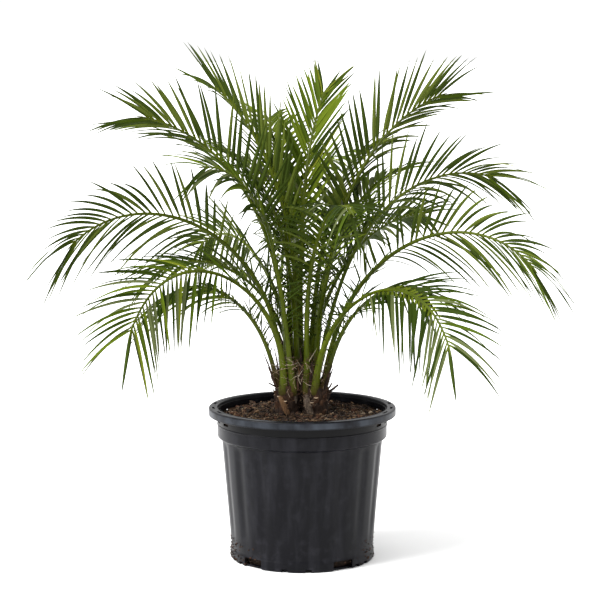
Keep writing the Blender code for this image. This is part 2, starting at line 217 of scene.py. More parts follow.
floor_mesh = bpy.data.meshes.new("floor")
floor_mesh.from_pydata([(x * FLOOR_SIZE / 2, y * FLOOR_SIZE / 2, 0) for x, y in SQUARE], [], [(0, 1, 2, 3)])
floor_mesh.materials.append(Finish("white_floor").set(Base_Color=(FLOOR_WHITE,) * 3, Roughness=0.9))
floor = add_object("floor", floor_mesh)
floor.location.z = -0.0005
floor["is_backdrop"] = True

sky = Finish("light_tent", bpy.data.worlds, "Background", "Generated")
overhead = sky.steps(sky.height(), *SKY_RAMP)
bpy.context.scene.world = sky.set(Color=(1.0, 1.0, 1.0), Strength=HORIZON + overhead * (ZENITH - HORIZON))

sun_data = bpy.data.lights.new("sun", "SUN")
sun_data.energy = SUN_STRENGTH
sun_data.angle = math.radians(SUN_ANGLE)
add_object("sun", sun_data).rotation_euler = SUN_FROM.to_track_quat("Z", "Y").to_euler()
print("floor", FLOOR_SIZE, "m, sun of strength", SUN_STRENGTH)

# %% [markdown]
# A plant is thousands of small shapes. Each is a loft: rings of points joined by faces, closed by a flat
# end or drawn out to a tip. A Heap gathers lofts with the number of the tint of each face, and becomes one
# piece at the end. That is quicker than thousands of objects, and every shape stays a closed solid.

# %% Heaps of lofts
class Heap:
    """Points, faces and tints of many shapes that become one piece."""

    def __init__(self):
        self.points, self.faces, self.tints = [], [], []

    def face(self, corners, tint):
        self.faces.append(tuple(corners))
        self.tints.append(tint)

    def loft(self, rings, tint=0, tip=None):
        """Close a skin over the rings. tint is a number, or gives one for a ring and a side."""
        tint_of = tint if callable(tint) else (lambda ring, side: tint)
        sides, last, first = len(rings[0]), len(rings) - 1, len(self.points)
        top = first + last * sides
        for ring in rings:
            self.points.extend(tuple(point) for point in ring)
        self.face((first + side for side in reversed(range(sides))), tint_of(0, 0))
        for index in range(last):
            low = first + index * sides
            for side in range(sides):
                beside = (side + 1) % sides
                corners = (low + side, low + beside, low + sides + beside, low + sides + side)
                self.face(corners, tint_of(index, side))
        if tip is None:
            self.face(range(top, top + sides), tint_of(last, 0))
            return
        self.points.append(tuple(tip))
        for side in range(sides):
            self.face((top + side, top + (side + 1) % sides, top + sides), tint_of(last - 1, side))

    def mesh(self, name, finishes=()):
        mesh = bpy.data.meshes.new(name)
        mesh.from_pydata(self.points, [], self.faces)
        for finish in finishes:
            mesh.materials.append(finish)
        mesh.polygons.foreach_set("material_index", self.tints)
        return mesh

    def piece(self, name, finishes, slot, replaced=(), sharp=40):
        place_piece(name, self.mesh(name, finishes), replaced, sharp)


def place_piece(name, mesh, replaced=(), sharp=40):
    """Make a mesh one piece of the plant, on the frame's only body."""
    mesh.update()
    if sharp is None:
        mesh.shade_flat()
    else:
        mesh.shade_smooth()
        mesh.set_sharp_from_angle(angle=math.radians(sharp))
    item = add_object(name, mesh)
    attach(item, "root")
    if replaced:
        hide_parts(*replaced)
    print(name, sum(len(face.vertices) - 2 for face in mesh.polygons), "triangles")


# %% [markdown]
# The pot is moulded black plastic with a satin skin, so what shows is the sky on it. Handling leaves faint
# streaks down the wall, and a little dust lies low on the wall. So the colour and the gloss both change by a
# stretched noise. The skirt of the lip gets a painted highlight, a streaky bluish grey for the sky's gleam on
# it, and the neck under the lip gets painted shade, near black.

# %% Pot finish
def pot_plastic():
    finish = Finish("satin_black_plastic")
    streaks = finish.grain(9.0, 5.0, (6.0, 6.0, 1.0))
    dust = finish.steps(finish.grain(55.0, 6.0), 0.52, 0.75)
    height = finish.height()
    low = 1 - finish.steps(height, 0.0, 0.07)
    marks = finish.steps(streaks, 0.45, 0.8) * 0.45 + dust * 0.2 + low * dust * 0.35
    colour = finish.blend(marks, (0.002, 0.002, 0.0033), (0.021, 0.021, 0.026))
    level = finish.stretched((1.0, 1.0, 0.0))
    radius = finish.node("VectorMath", {"operation": "LENGTH"}, {0: level}, out="Value")
    skirt = finish.steps(radius, 0.1705, 0.172) * finish.steps(height, 0.2755, 0.2785)
    skirt = skirt * (1 - finish.steps(height, 0.2868, 0.2885))
    # Painted highlight: the lip's skirt is lightened in streaks to a bluish grey, standing for the sky's
    # gleam on it.
    painted_skirt_highlight = finish.steps(finish.grain(26.0, 4.0, (1.0, 1.0, 0.6)), 0.36, 0.64) * skirt
    colour = finish.blend(painted_skirt_highlight * 0.8, colour, (0.04, 0.047, 0.058))
    # Painted shade: the neck under the lip is darkened nearly to black, standing for the lip's shadow.
    painted_neck_shade = finish.steps(height, 0.2575, 0.259) * (1 - finish.steps(height, 0.2745, 0.2755))
    colour = finish.blend(painted_neck_shade * 0.85, colour, (0.0008, 0.0008, 0.001))
    skin = finish.relief(finish.grain(900.0, 2.0), 0.00006)
    return finish.set(Base_Color=colour, Roughness=0.33 + marks * 0.22, Normal=skin, Specular_IOR_Level=0.11)


plastic = pot_plastic()
print("finish", plastic.name)

# %% [markdown]
# A pot is turned, so its shape is a profile of radius and height, with the measures of the solids. The
# flutes press the wall in by two millimetres where two of them meet, and fade out towards the foot. The rim
# is a folded lip with a skirt that hangs outside.

# %% Pot profile
RIM_RADIUS = 0.1775
POT_HEIGHT = 0.29
FOOT_RADIUS = 0.136
FLOOR = 0.003
WALL = 0.0028
BODY_FOOT, BODY_TOP = 0.024, 0.228
BODY_RADII = (0.1348, 0.1525)
BODY_RINGS = 22
BAND_RADIUS = 0.1605
LIP_HEIGHT = 0.015
FLUTES = 18
FLUTE_DEPTH = 0.002
FLUTE_AZIMUTH = -1.0


def clamp(value):
    return min(1.0, max(0.0, value))


def mix(first, second, share):
    return first + (second - first) * share


def polar(radius, turn, height=0.0):
    return radius * math.cos(turn), radius * math.sin(turn), height


def body_radius(height):
    return mix(*BODY_RADII, (height - BODY_FOOT) / (BODY_TOP - BODY_FOOT))


def corner(x, y, radius, start, end, steps=4):
    """Points of a rounded corner, between two angles in degrees."""
    turns = (math.radians(mix(start, end, i / steps)) for i in range(steps + 1))
    return [(x + radius * math.cos(turn), y + radius * math.sin(turn)) for turn in turns]


def pot_profile():
    lip_foot, under_lip = POT_HEIGHT - LIP_HEIGHT, POT_HEIGHT - 0.0035
    lip_inside = RIM_RADIUS - 0.0028
    body = [mix(BODY_FOOT, BODY_TOP, i / BODY_RINGS) for i in range(BODY_RINGS + 1)]
    band = ((0.0, 0.256), (0.0011, 0.2572), (0.0012, 0.2584), (0.0004, 0.2596), (0.0014, 0.268),
            (0.002, under_lip))
    return [
        *corner(FOOT_RADIUS - 0.003, 0.003, 0.003, -90, 0),
        (FOOT_RADIUS, 0.0165), (FOOT_RADIUS - 0.0004, 0.0185), (body_radius(0.0215), 0.0205),
        *((body_radius(height), height) for height in body),
        *corner(BODY_RADII[1] + 0.0022, 0.2285, 0.0022, 180, 120, 2),
        *corner(BAND_RADIUS - 0.003, 0.2362, 0.003, -60, 0, 3),
        *((BAND_RADIUS + out, height) for out, height in band),
        (lip_inside, under_lip), (lip_inside, lip_foot + 0.0008),
        *corner(RIM_RADIUS - 0.0014, lip_foot + 0.0014, 0.0014, -160, 0, 5),
        *corner(RIM_RADIUS - 0.0032, POT_HEIGHT - 0.0032, 0.0032, 0, 90, 6),
        (0.1668, POT_HEIGHT), (0.1662, POT_HEIGHT - 0.0008), (0.1648, POT_HEIGHT - 0.0009),
        *corner(0.1626, POT_HEIGHT - 0.0018, 0.0018, 70, 180, 5),
        (0.1604, 0.284), (0.1598, 0.2836), (0.1597, 0.2815), (0.1605, 0.2808), (0.16, 0.27),
        (0.1575, 0.2335), (BODY_RADII[1] - WALL, 0.2265), (BODY_RADII[0] - WALL, 0.012),
        (FOOT_RADIUS - 0.006, FLOOR),
    ]


def flute_press(azimuth, height):
    """How far the wall is pressed in at an azimuth in degrees."""
    pitch = 360 / FLUTES
    off_seam = abs((azimuth - FLUTE_AZIMUTH + pitch / 2) % pitch - pitch / 2)
    seam = max(0.0, 1 - off_seam / (pitch / 3))
    fade = clamp((height - 0.03) / 0.045) * clamp((0.229 - height) / 0.004)
    return FLUTE_DEPTH * seam * seam * (3 - 2 * seam) * fade


profile = pot_profile()
print("profile of", len(profile), "rings, rim", 2 * RIM_RADIUS, "m across")

# %% [markdown]
# The drain notches, the slots under the lip and the holes in the lip's top are cut, as on the real mould,
# by boxes with softened edges. A Boolean modifier does it, and its result is kept as the pot's mesh, so
# that no cutter stays behind.

# %% Turn and cut the pot
POT_SIDES = FLUTES * 16
# Azimuths that the angles are counted from, angles to both sides of them, radius, height, size through the
# wall, along it and up, and softening, of the wide notches, small notches, neck slots and lip holes
CUTS = (
    ((-94.5, 85.5), (38.9,), 0.137, 0.0, (0.018, 0.043, 0.036), 0.0015),
    ((-94.5, 85.5), (9.5, 53.5, 65.5), 0.137, 0.0, (0.018, 0.012, 0.012), 0.0012),
    ((-90,), (62, 76, 104, 118), 0.162, 0.268, (0.008, 0.019, 0.007), 0.001),
    ((-90,), (66, 83, 100), 0.169, POT_HEIGHT, (0.0045, 0.022, 0.012), 0.0008),
)


def pot_ring(radius, height):
    """One level of the profile, turned, and pressed in by the flutes if it is outside on the body."""
    on_body = 0.0206 < height < 0.2284 and radius > body_radius(height) - WALL / 2
    ring = []
    for side in range(POT_SIDES):
        azimuth = 360 * side / POT_SIDES
        pressed = flute_press(azimuth, height) if on_body else 0.0
        ring.append(polar(radius - pressed, math.radians(azimuth), height))
    return ring


def make_cutter(azimuth, radius, height, size, soften):
    """A soft-edged box of size (through the wall, along it, up)."""
    work = bmesh.new()
    bmesh.ops.create_cube(work, size=1.0)
    bmesh.ops.scale(work, vec=size, verts=work.verts)
    across = [e for e in work.edges if abs((e.verts[0].co - e.verts[1].co).x) > size[0] / 2]
    bmesh.ops.bevel(work, geom=across, offset=soften, segments=2, affect="EDGES", profile=0.5)
    mesh = bpy.data.meshes.new("cutter")
    work.to_mesh(mesh)
    work.free()
    cutter = bpy.data.objects.new("cutter", mesh)
    turn = math.radians(azimuth)
    cutter.location = polar(radius, turn, height)
    cutter.rotation_euler.z = turn
    return cutter


def build_pot():
    heap = Heap()
    heap.loft([pot_ring(*level) for level in profile], tip=(0, 0, FLOOR))
    pot = add_object("pot_uncut", heap.mesh("pot_shell"))
    cutters = bpy.data.collections.new("cutters")
    bpy.context.scene.collection.children.link(cutters)
    for fronts, angles, *shape in CUTS:
        for azimuth in (front + hand * angle for front in fronts for angle in angles for hand in (1, -1)):
            cutters.objects.link(make_cutter(azimuth, *shape))
    cut = pot.modifiers.new("cut", "BOOLEAN")
    cut.operation, cut.solver = "DIFFERENCE", "EXACT"
    cut.operand_type, cut.collection = "COLLECTION", cutters
    seen = pot.evaluated_get(bpy.context.evaluated_depsgraph_get())
    shell = bpy.data.meshes.new_from_object(seen)
    shell.materials.clear()
    shell.materials.append(plastic)
    for used in (*cutters.objects, pot):
        bpy.data.objects.remove(used)
    bpy.data.collections.remove(cutters)
    place_piece("pot_shell", shell, ["pot"], 34)


build_pot()

# %% [markdown]
# The potting mix is composted bark: dark crumbs under chips and shreds of bark, with pale fibres. A bumpy
# disc alone would look like mud, so the bed is only the dark ground, and some thousand chips of five browns
# lie on it, each a small block with its corners knocked about.

# %% Soil finishes
def earth(name, dark, light):
    finish = Finish(name)
    mottle = finish.steps(finish.grain(240.0, 5.0), 0.35, 0.7)
    grit = finish.relief(finish.grain(900.0, 4.0), 0.0006)
    return finish.set(Base_Color=finish.blend(mottle, dark, light), Roughness=0.95, Normal=grit,
                      Specular_IOR_Level=0.2)


crumb_finish = earth("dark_crumbs", (0.006, 0.0035, 0.002), (0.02, 0.011, 0.006))
chip_finishes = [
    earth("chip_black_brown", (0.007, 0.004, 0.0025), (0.018, 0.01, 0.006)),
    earth("chip_brown", (0.02, 0.011, 0.006), (0.046, 0.026, 0.014)),
    earth("chip_red_brown", (0.036, 0.015, 0.008), (0.07, 0.032, 0.017)),
    earth("chip_tan", (0.085, 0.05, 0.026), (0.165, 0.1, 0.055)),
    earth("chip_pale", (0.16, 0.12, 0.08), (0.27, 0.21, 0.15)),
]
print("soil finishes", 1 + len(chip_finishes))

# %% [markdown]
# The bed is one loft that follows the solid: up the inner wall of the pot, cut back behind the notches, then
# inward in rings to its middle. It is level where the stems stand and a little lower at the wall, and fractal
# noise lifts it by a few millimetres.

# %% Soil bed
SOIL_TOP = 0.279
SOIL_EDGE = 0.272
SOIL_FLAT_RADIUS = 0.098
SOIL_RADIUS = 0.159
BED_RINGS = 60
BED_SIDES = 200
BED_WALL = ((0.12, 0.0034), (0.1299, 0.022), (0.1486, 0.2265), (0.1568, 0.2345))


def soil_height(x, y):
    out = clamp((math.hypot(x, y) - SOIL_FLAT_RADIUS) / (SOIL_RADIUS - SOIL_FLAT_RADIUS))
    lumps = noise.fractal(Vector((x, y, 0.0)) * 45, 1.0, 2.0, 5)
    return mix(SOIL_TOP, SOIL_EDGE, out) - 0.001 + 0.0032 * lumps


def build_bed():
    turns = [math.tau * side / BED_SIDES for side in range(BED_SIDES)]
    rings = [[polar(radius, turn, height) for turn in turns] for radius, height in BED_WALL]
    for ring in range(BED_RINGS, 0, -1):
        spots = (polar(SOIL_RADIUS * ring / BED_RINGS, turn) for turn in turns)
        rings.append([(x, y, soil_height(x, y)) for x, y, _ in spots])
    heap = Heap()
    heap.loft(rings, tip=(0, 0, soil_height(0, 0)))
    heap.piece("soil_bed", [crumb_finish], "soil", ["soil"], 60)


build_bed()

# %% [markdown]
# Chips lie flat with a little tilt, shreds and fibres lie in all directions. They are dealt out evenly over
# the disc by a seeded rule, which takes the square root of the radius' share so that the middle isn't
# crowded. A few crumbs cling to the foot of the pot's wall, most of them on its left.

# %% Bark chips and fibres
CHIPS = 4600
FIBRES = 900
# How many crumbs cling round each azimuth of the pot's foot
CLINGING = {190.0: 170, -12.0: 85}
# Where each stem stands, its radius, and the radius of the ring that its fronds stand on
STEMS = {
    "left": (-0.028, -0.004, 0.0253, 0.018),
    "right": (0.026, -0.01, 0.0253, 0.018),
    "rear": (-0.001, 0.046, 0.03, 0.0225),
}


SIX_SHARES = (0.0, 0.2, 0.4, 0.6, 0.8, 1.0)


def unit(direction):
    return direction / np.linalg.norm(direction)


def spot_on_soil(dice, margin):
    """A spot on the soil that isn't under a stem."""
    while True:
        radius = (SOIL_RADIUS - margin) * math.sqrt(dice.random())
        x, y, _ = polar(radius, dice.uniform(0, math.tau))
        if all(math.hypot(x - sx, y - sy) > sr * 0.8 for sx, sy, sr, _ in STEMS.values()):
            return x, y


def add_chip(heap, dice, centre, length, width, height, tint):
    turn, tilt, roll = dice.uniform(0, math.tau), dice.gauss(0, 0.3), dice.gauss(0, 0.35)
    along = np.array(polar(math.cos(tilt), turn, math.sin(tilt)))
    aside = np.array((-math.sin(turn), math.cos(turn), roll))
    half = (along * length / 2, aside * width / 2, np.cross(along, aside) * height / 2)
    rings = []
    for z in (-1, 1):
        rings.append([])
        for x, y in SQUARE:
            knocks = [dice.uniform(0.55, 1.15) for _ in half]
            rings[-1].append(sum((h * s * k for h, s, k in zip(half, (x, y, z), knocks)), np.array(centre)))
    heap.loft(rings, tint)


def add_strand(heap, path, thick, tint):
    """A thin fibre of three sides along a path, drawn out to a tip."""
    path = [np.array(point) for point in path]
    rings = []
    for index, point in enumerate(path[:-1]):
        along = unit(path[index + 1] - path[max(0, index - 1)])
        side = unit(np.cross(along, (0.31, 0.17, 0.93)))
        up = np.cross(side, along)
        size = thick / 2 * (1 - 0.6 * index / len(path))
        rings.append([point + size * (side * math.cos(a) + up * math.sin(a)) for a in (0.5, 2.6, 4.7)])
    heap.loft(rings, tint, tip=path[-1])


def build_chips():
    dice = random.Random(11)
    heap = Heap()
    for _ in range(CHIPS):
        length = 0.002 + 0.009 * dice.random() ** 3.2
        width = length * dice.uniform(0.25, 0.75)
        height = width * dice.uniform(0.3, 0.8)
        x, y = spot_on_soil(dice, length * 0.6)
        z = soil_height(x, y) + height * dice.uniform(0.1, 0.9)
        tint = dice.choices(range(5), weights=(50, 32, 11, 13 if x < -0.02 else 6, 2))[0]
        add_chip(heap, dice, (x, y, z), length, width, height, tint)
    heap.piece("soil_chips", chip_finishes, "soil", sharp=None)
    heap = Heap()
    for _ in range(FIBRES):
        x, y = spot_on_soil(dice, 0.012)
        length, bow = dice.uniform(0.006, 0.03), dice.uniform(-0.5, 0.5)
        turn, rise = dice.uniform(0, math.tau), dice.uniform(0.0, 0.35)
        path = []
        for share in (-0.5, -0.25, 0.0, 0.25, 0.5):
            px = x + length * (share * math.cos(turn) - bow * share ** 2 * math.sin(turn))
            py = y + length * (share * math.sin(turn) + bow * share ** 2 * math.cos(turn))
            reach = min(1.0, (SOIL_RADIUS - 0.001) / math.hypot(px, py))
            px, py = px * reach, py * reach
            path.append((px, py, soil_height(px, py) + 0.0012 + length * rise * (0.25 - share ** 2)))
        tint = dice.choices((2, 3, 4), weights=(25, 50, 25))[0]
        add_strand(heap, path, dice.uniform(0.0007, 0.0016), tint)
    heap.piece("soil_fibres", chip_finishes, "soil", sharp=60)


build_chips()


def build_clinging_crumbs():
    dice = random.Random(23)
    heap = Heap()
    for azimuth, count in CLINGING.items():
        for _ in range(count):
            turn = math.radians(dice.gauss(azimuth, 17))
            z = 0.004 + 0.042 * dice.random() ** 1.7
            away = (FOOT_RADIUS if z < 0.02 else body_radius(z)) + 0.0004
            length = dice.uniform(0.001, 0.0032)
            spot, tint = polar(away, turn, z), dice.choice((0, 0, 1, 1, 2))
            add_chip(heap, dice, spot, length, length * 0.7, length * 0.6, tint)
    heap.piece("clinging_crumbs", chip_finishes, "soil", sharp=None)


build_clinging_crumbs()

# %% [markdown]
# A frond is one rib that rises, bends over and falls. This is the rule of the solids, written again: the
# lean from upright grows along the rib, the heading curls, and the blade may roll to one side. Everything
# that grows on a rib asks it for a place and for the directions along, over and across it.

# %% Fronds by rule
STEM_HEAD = 0.33
GAP = 0.0003
COURSE_STEPS = 160
BLADE_START = 0.37
BLADE_END = 0.84
CROWDING = 1.12
ROLL_START = 0.2
ROLL_SPAN = 0.35
SPLIT_TIP_LEAN = 125.0
# Place in the crown, stem, slot on its head, azimuth, lean at the foot and at the tip, length in
# millimetres, how late the bend comes, curl at the tip, roll of the blade, lift of its leaflets out of its
# plane, and their angle from the rib at the tip
FRONDS = (
    ("top_left", "rear", -135, 150, -4, 76, 730, 1.7, -7, 50, 46, 24),
    ("upper_left", "left", None, 172, 2, 107, 735, 1.9, 37, 48, 42, 20),
    ("front_left", "left", -60, -153, 7, 166, 592, 3.7, 13, -32, 8, 34),
    ("far_left", "left", 120, -165, 2, 159, 755, 1.3, 35, 70, 8, 24),
    ("low_left", "left", -120, -140, -6, 163, 700, 0.9, 42, -47, -16, 38),
    ("short_left", "left", 180, -170, 13, 162, 415, 1.7, 50, 20, -10, 30),
    ("top_middle", "rear", None, 78, -6, 71, 700, 1.7, -11, 10, 30, 20),
    ("top_right", "rear", 0, 18, 6, 98, 745, 2.3, -14, -60, 36, 22),
    ("upper_right", "right", 90, 8, 11, 151, 690, 2.2, -15, -50, 30, 24),
    ("far_right", "right", 30, -22, 8, 160, 735, 1.3, -34, -68, 8, 24),
    ("low_right", "right", -90, -45, 5, 166, 630, 1.0, -36, 47, -16, 38),
    ("short_right", "right", -30, -25, 14, 145, 400, 1.7, -34, 0, -10, 30),
    ("front_right", "right", -150, -62, -3, 165, 575, 2.2, -15, 0, 12, 34),
    ("inner_right", "right", 150, 38, 8, 118, 560, 1.4, 5, -45, 20, 26),
    ("inner_left", "left", 60, 165, 4, 150, 480, 1.4, 0, 20, 20, 25),
    ("high_back_left", "rear", 180, 104, -1, 89, 685, 1.6, -8, 10, 25, 25),
    ("high_back_right", "rear", -45, 66, 6, 118, 700, 1.7, 8, -20, 25, 25),
    ("back", "rear", 90, 95, 14, 158, 700, 1.3, 0, 40, 5, 28),
    ("back_left", "rear", 135, 122, 12, 152, 600, 1.4, 0, 60, 8, 26),
    ("back_right", "rear", 45, 72, 14, 150, 640, 1.4, 0, -55, 8, 26),
    ("mid_back_left", "left", 0, 121, 2, 112, 640, 1.8, 1, 20, 20, 25),
    ("mid_back_right", "right", None, 50, 2, 100, 580, 1.6, 0, -10, 20, 25),
)


class Frond:
    """The line of one rib, with the directions along it, over it and across it."""

    def __init__(self, row):
        self.name, self.stem, self.slot, self.azimuth, self.lean_foot, self.lean_tip, length = row[:7]
        self.bend, self.curl, self.roll, self.lift, self.fan = row[7:]
        self.length = length / 1000
        x, y, _, ring = STEMS[self.stem]
        if self.slot is not None:
            x += ring * math.cos(math.radians(self.slot))
            y += ring * math.sin(math.radians(self.slot))
        self.line = [Vector((x, y, STEM_HEAD + GAP))]
        for step in range(COURSE_STEPS):
            along = self.direction((step + 0.5) / COURSE_STEPS)
            self.line.append(self.line[-1] + along * self.length / COURSE_STEPS)

    def angles(self, share):
        share = max(0.0, share)
        lean = mix(self.lean_foot, self.lean_tip, share ** self.bend)
        return math.radians(lean), math.radians(self.azimuth + self.curl * share ** 2)

    def direction(self, share):
        lean, heading = self.angles(share)
        return Vector(polar(math.sin(lean), heading, math.cos(lean)))

    def place(self, share):
        step = min(max(int(share * COURSE_STEPS), 0), COURSE_STEPS - 1)
        return np.array(self.line[step].lerp(self.line[step + 1], share * COURSE_STEPS - step))

    def frame(self, share):
        lean, heading = self.angles(share)
        along = self.direction(share)
        over = Vector(polar(-math.cos(lean), heading, math.sin(lean)))
        turn = math.radians(self.roll) * clamp((share - ROLL_START) / ROLL_SPAN)
        over = over * math.cos(turn) + along.cross(over) * math.sin(turn)
        return [np.array(direction) for direction in (along, over, along.cross(over))]

    def nodes(self):
        ends = ("_inner", "_outer") if self.lean_tip >= SPLIT_TIP_LEAN else ("",)
        return ["frond_" + self.name + end for end in ends]


fronds = [Frond(row) for row in FRONDS]
print(len(fronds), "fronds,", round(sum(f.length for f in fronds), 1), "m of rib")

# %% [markdown]
# Palm leaflets are leathery, deep green above and a shade paler below, with a yellow swelling at their root.
# Young fronds are fresher in colour. So there are four greens for the upper face, two for the lower and one
# for the root, and each leaflet is dealt one of the four, or a painted sheen: a greyed, bluer green that
# stands for the sky's gleam on a glossy leaflet. A wide noise shifts the green a little along the blade, and
# the gloss comes from the shader, with a fine grain that breaks it.

# %% Leaf finishes
LEAF_GLOSS = 0.02


def leaf(name, dark, light, rough):
    finish = Finish(name)
    drift = finish.steps(finish.grain(16.0, 2.0), 0.3, 0.7)
    grain = finish.relief(finish.grain(520.0, 2.0), 0.00012)
    return finish.set(Base_Color=finish.blend(drift, dark, light), Roughness=rough + drift * 0.12,
                      Normal=grain, Specular_IOR_Level=LEAF_GLOSS)


leaf_finishes = [
    leaf("leaf_deep", (0.01, 0.019, 0.0014), (0.019, 0.0325, 0.0024), 0.38),
    leaf("leaf_middle", (0.027, 0.045, 0.0028), (0.044, 0.067, 0.0044), 0.38),
    leaf("leaf_fresh", (0.055, 0.082, 0.0046), (0.082, 0.112, 0.0072), 0.4),
    leaf("leaf_yellowed", (0.078, 0.1, 0.007), (0.115, 0.132, 0.0115), 0.46),
    leaf("leaf_underside", (0.02, 0.033, 0.0042), (0.035, 0.052, 0.0074), 0.52),
    leaf("leaf_root", (0.044, 0.062, 0.0035), (0.066, 0.084, 0.0065), 0.48),
    # Painted sheen: a greyed green with more blue, standing for the sky's gleam on glossy leaflets.
    leaf("leaf_painted_sheen", (0.048, 0.06, 0.019), (0.076, 0.09, 0.034), 0.38),
    leaf("leaf_light_underside", (0.05, 0.07, 0.0086), (0.076, 0.097, 0.016), 0.52),
]
FRESH, ROOT = 2, 5
# The lower side's finish for each finish of the upper side
LOWER_TINTS = (4, 4, 7, 7, 4, 4, 7)
print("leaf finishes", len(leaf_finishes))

# %% [markdown]
# A leaflet is a narrow blade folded along its middle like a gutter, and it tapers to a fine point. Its
# section here is four points: both edges, the floor of the fold, and the midrib under it, which makes it a
# closed solid with a sharp edge. It leaves the rib at an angle that closes towards the tip of the frond.

# %% Leaflet outline
LEAFLET_WIDTH = 0.0096
BLADE_RINGS = 11
MIDRIB = 0.0007
FOLD = 0.44
TAPER = 2.5


def width_share(t):
    """Outline of a leaflet: narrow at its root, widest at a third, and a long point."""
    return (0.42 + 0.58 * math.sin(math.pi / 2 * min(1.0, t / 0.3))) * (1 - t ** TAPER) ** 0.9


def add_leaflet(heap, foot, aim, along, hand, length, width, droop, sway, twist, tint, tilt):
    """Loft one leaflet from its foot. hand is the side of the rib, 1 or -1."""
    bow = np.array((0.0, 0.0, -droop * length)) + sway * length * along
    rings = []
    for index in range(BLADE_RINGS):
        t = index / BLADE_RINGS
        here = foot + aim * length * t + bow * t ** 2
        chord = unit(aim * length + 2 * bow * t)
        forward = unit(along - chord * np.dot(along, chord))
        flat = np.cross(forward, chord) * -hand
        turn = math.radians(tilt + twist * t)
        broad = forward * math.cos(turn) - flat * math.sin(turn)
        face = flat * math.cos(turn) + forward * math.sin(turn)
        half = width / 2 * width_share(t)
        fold = half * FOLD * (1 - 0.45 * t)
        ring = (here - broad * half + face * fold, here - face * MIDRIB * (1 - 0.5 * t),
                here + broad * half + face * fold, here + face * MIDRIB * 0.3)
        rings.append(ring[::-hand])
    lower_sides = (2, 1) if hand > 0 else (0, 1)

    def tint_of(ring, side):
        if ring == 0:
            return ROOT
        return LOWER_TINTS[tint] if side in lower_sides else tint

    heap.loft(rings, tint_of, tip=foot + aim * length + bow)


print("leaflet", LEAFLET_WIDTH, "m wide, in", BLADE_RINGS, "rings")

# %% [markdown]
# How leaflets stand gives a palm frond its look. On a young frond they still lie forward along the rib and
# rise in a V. On an old one the blade has rolled over, so one side stands up and the other side hangs. They
# leave the rib in loose pairs, and small differences keep them from looking combed.

# %% Leaflets along a rib
PAIRS = 26
LEAFLET_LENGTH = 0.152
FULL_FROND_LENGTH = 0.72
YOUNG_SPREAD, SPREAD = 36.0, 60.0
YOUNG_LEAN, GROWN_LEAN = 70.0, 95.0
LIFT_AT_TIP = 0.25
TILT = 12.0
DROOP = (0.06, 0.24)
HANG = 0.35
SHORTER_BELOW = 0.12
CLOSER_BELOW = 0.35
PAIRING = 0.06
RIB_WIDTHS = (0.0118, 0.008, 0.0032)
YOUNG_WIDTH = 1.02
LEANING_WIDTH = 0.82
# How often each finish is dealt: deep, middle, fresh and yellowed
YOUNG_TINTS = (20, 38, 30, 5)
GROWN_TINTS = (42, 36, 16, 3)
# The shaded fronds are dealt mostly deep green: painted shade on two fronds that face the sun.
SHADED_TINTS = (76, 20, 2, 0)
SHADED_FRONDS = ("low_right", "front_right")
# How often the painted sheen finish is dealt, where it isn't rare
FEW_PAINTED_SHEEN = 9
PAINTED_SHEEN_SHARES = {"front_left": 30, "front_right": 30, "inner_right": 30, "low_left": 20, "low_right": 20,
               "short_left": 20, "short_right": 20}


def rib_half(sizes, share):
    """Half a rib's width or depth, from its sizes at the foot, the blade's start and its end."""
    foot, start, end = sizes
    if share < BLADE_START:
        return mix(foot, start, share / BLADE_START) / 2
    return mix(start, end, min(1.0, (share - BLADE_START) / (BLADE_END - BLADE_START))) / 2


def both_sides(dice, pairs, jitter):
    """The side and the place of what grows in loose pairs, from 0 to 1 along its stretch."""
    for pair in range(pairs):
        for hand in (1, -1):
            yield hand, (pair + 0.5 + dice.uniform(-jitter, jitter)) / pairs


def fork(first, second, angle):
    """A direction between two others, at an angle from the first."""
    return first * math.cos(angle) + second * math.sin(angle)


def leaflet_stance(frond, v, hand, along, over, across, dice):
    """Directions out of the rib and along the leaflet, and how far it hangs below level, 0 to 1."""
    lift = math.radians(frond.lift * mix(1.0, LIFT_AT_TIP, v) + dice.gauss(0, 4.0))
    out = fork(across * hand, over, lift)
    low = clamp(0.15 - out[2])
    grown = clamp((frond.lean_tip - YOUNG_LEAN) / (GROWN_LEAN - YOUNG_LEAN))
    closing = 1 - (CLOSER_BELOW * low * v if frond.lift > 0 else 0.0)
    spread = mix(mix(YOUNG_SPREAD, SPREAD, grown), frond.fan, v ** 0.85) * closing
    return out, fork(along, out, math.radians(spread + dice.gauss(0, 2.2))), low


